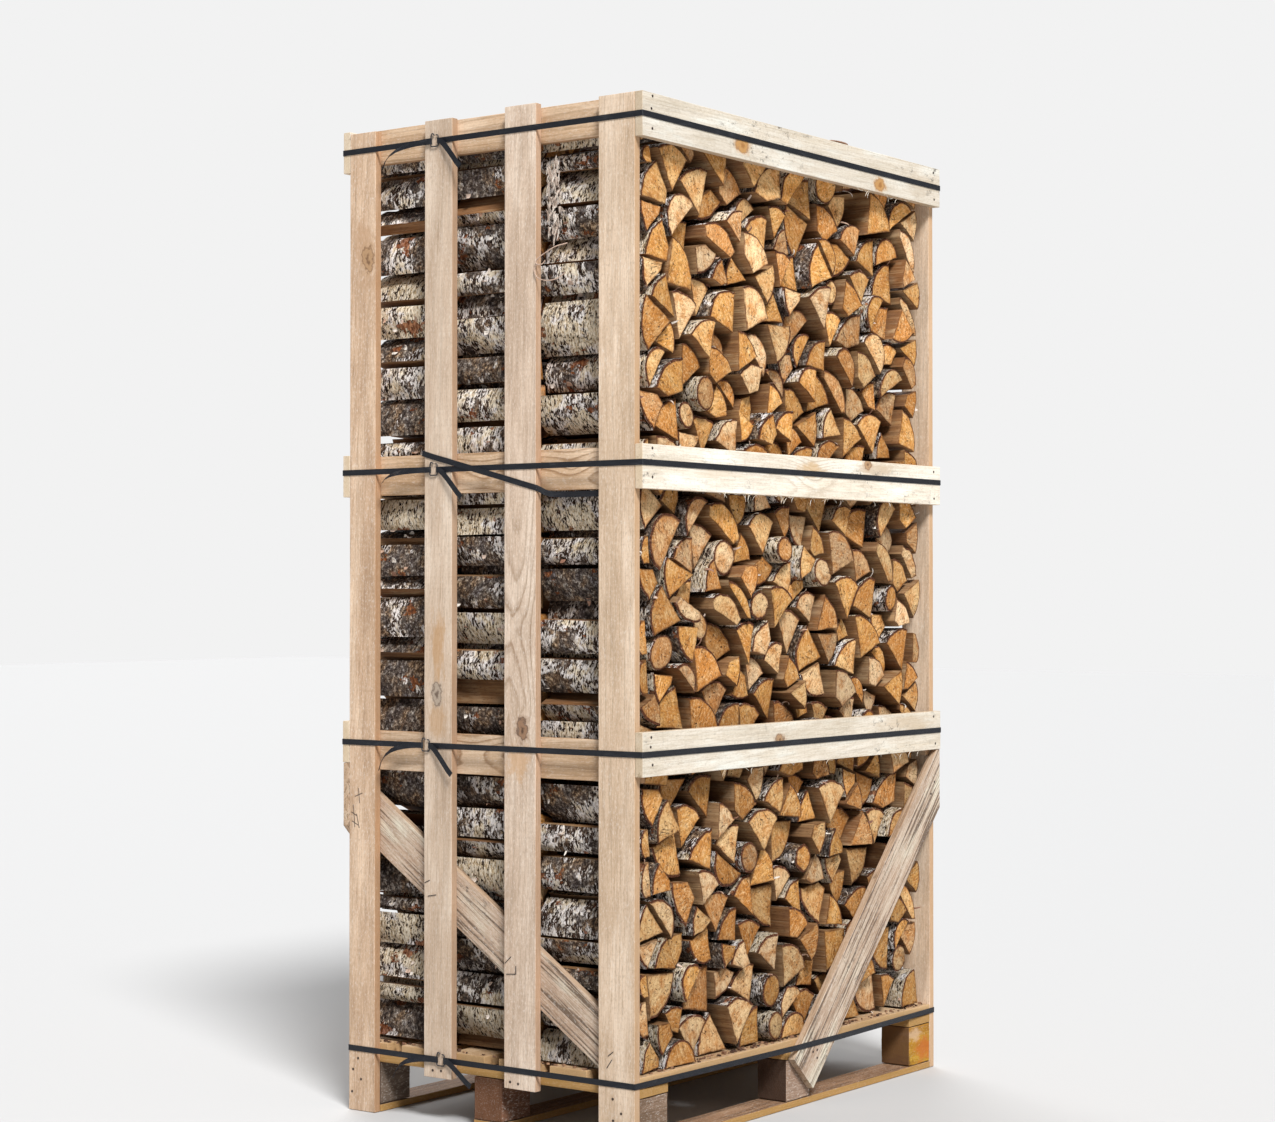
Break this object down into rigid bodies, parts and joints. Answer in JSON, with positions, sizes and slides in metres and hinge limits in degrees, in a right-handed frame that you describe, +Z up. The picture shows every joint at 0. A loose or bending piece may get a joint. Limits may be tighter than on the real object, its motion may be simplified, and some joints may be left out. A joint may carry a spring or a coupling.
{
  "type": "crate of firewood",
  "caption": "Tall open timber crate on a block pallet, filled with stacked split birch logs and tied with flat black plastic straps in wire buckles.",
  "frame": {"origin": "on the floor, under the middle of the pallet", "axes": "+Z up, X along the long side, Y along the short side; the side with the log ends and the outer rails faces -Y, and the short end with the strap buckles faces -X"},
  "size_m": [1.2597, 0.8428, 2.211],
  "materials": {
    "pallet_wood": "rough sawn softwood, dirty and worn",
    "block_wood": "rough dark reddish-brown blocks",
    "upright_wood": "rough sawn pale tan boards with fine grain",
    "rail_wood": "rough sawn cream boards with saw marks and knots",
    "brace_wood": "rough sawn boards with dark grain streaks",
    "log_wood": "split golden-brown wood with white and black birch bark",
    "strap_plastic": "black embossed strapping",
    "buckle_wire": "dark phosphated steel wire"
  },
  "bodies": {
    "root": {"brace_back": "brace_wood", "brace_front": "brace_wood", "brace_left": "brace_wood", "brace_right": "brace_wood", "buckle_bottom": "buckle_wire", "buckle_lower": "buckle_wire", "buckle_top": "buckle_wire", "buckle_upper": "buckle_wire", "end_rail_left_low": "rail_wood", "end_rail_left_middle": "rail_wood", "end_rail_left_top": "rail_wood", "end_rail_right_low": "rail_wood", "end_rail_right_middle": "rail_wood", "end_rail_right_top": "rail_wood", "log_row_back": "log_wood", "log_row_front": "log_wood", "log_row_middle": "log_wood", "pallet_block_back_left": "block_wood", "pallet_block_back_middle": "block_wood", "pallet_block_back_right": "block_wood", "pallet_block_front_left": "block_wood", "pallet_block_front_middle": "block_wood", "pallet_block_front_right": "block_wood", "pallet_block_middle_left": "block_wood", "pallet_block_middle_middle": "block_wood", "pallet_block_middle_right": "block_wood", "pallet_deck_board_1": "pallet_wood", "pallet_deck_board_2": "pallet_wood", "pallet_deck_board_3": "pallet_wood", "pallet_deck_board_4": "pallet_wood", "pallet_deck_board_5": "pallet_wood", "pallet_deck_board_6": "pallet_wood", "pallet_skid_back": "pallet_wood", "pallet_skid_front": "pallet_wood", "pallet_skid_middle": "pallet_wood", "pallet_stringer_left": "pallet_wood", "pallet_stringer_middle": "pallet_wood", "pallet_stringer_right": "pallet_wood", "post_back_left": "upright_wood", "post_back_right": "upright_wood", "post_front_left": "upright_wood", "post_front_right": "upright_wood", "side_rail_back_low": "rail_wood", "side_rail_back_middle": "rail_wood", "side_rail_back_top": "rail_wood", "side_rail_front_low": "rail_wood", "side_rail_front_middle": "rail_wood", "side_rail_front_top": "rail_wood", "slat_back_left": "upright_wood", "slat_back_right": "upright_wood", "slat_front_left": "upright_wood", "slat_front_right": "upright_wood", "strap_bottom": "strap_plastic", "strap_loose": "strap_plastic", "strap_lower": "strap_plastic", "strap_top": "strap_plastic", "strap_upper": "strap_plastic"}
  },
  "joints": []
}
